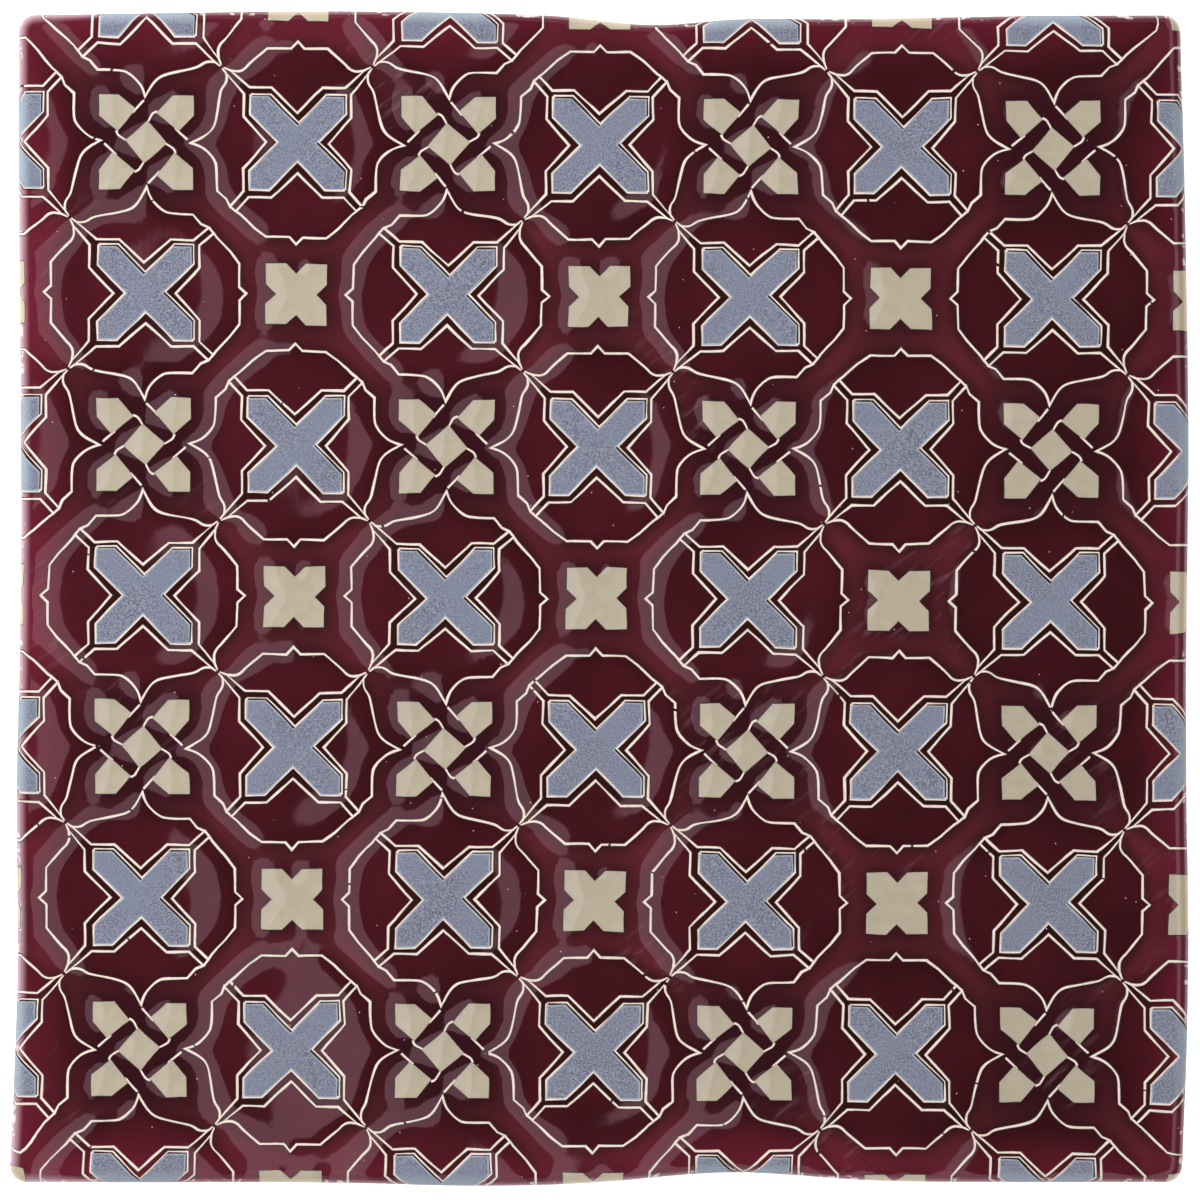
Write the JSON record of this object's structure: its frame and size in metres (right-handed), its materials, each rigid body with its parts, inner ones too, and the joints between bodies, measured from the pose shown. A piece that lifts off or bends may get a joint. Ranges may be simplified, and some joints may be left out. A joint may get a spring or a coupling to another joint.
{
  "type": "ceramic tile",
  "caption": "Square glazed ceramic wall tile with raised interlaced strapwork on its face, hand-pressed wavy sides and a keyed back.",
  "frame": {"origin": "middle of the back, on the plane of its ribs", "axes": "+Z out of the decorated face, +X to the right and +Y to the top of the pattern as pictured"},
  "size_m": [0.1514, 0.151, 0.009],
  "materials": {
    "glaze": "glossy burgundy glaze, with matte blue and cream fields"
  },
  "bodies": {
    "root": {"tile": "glaze"}
  },
  "joints": []
}
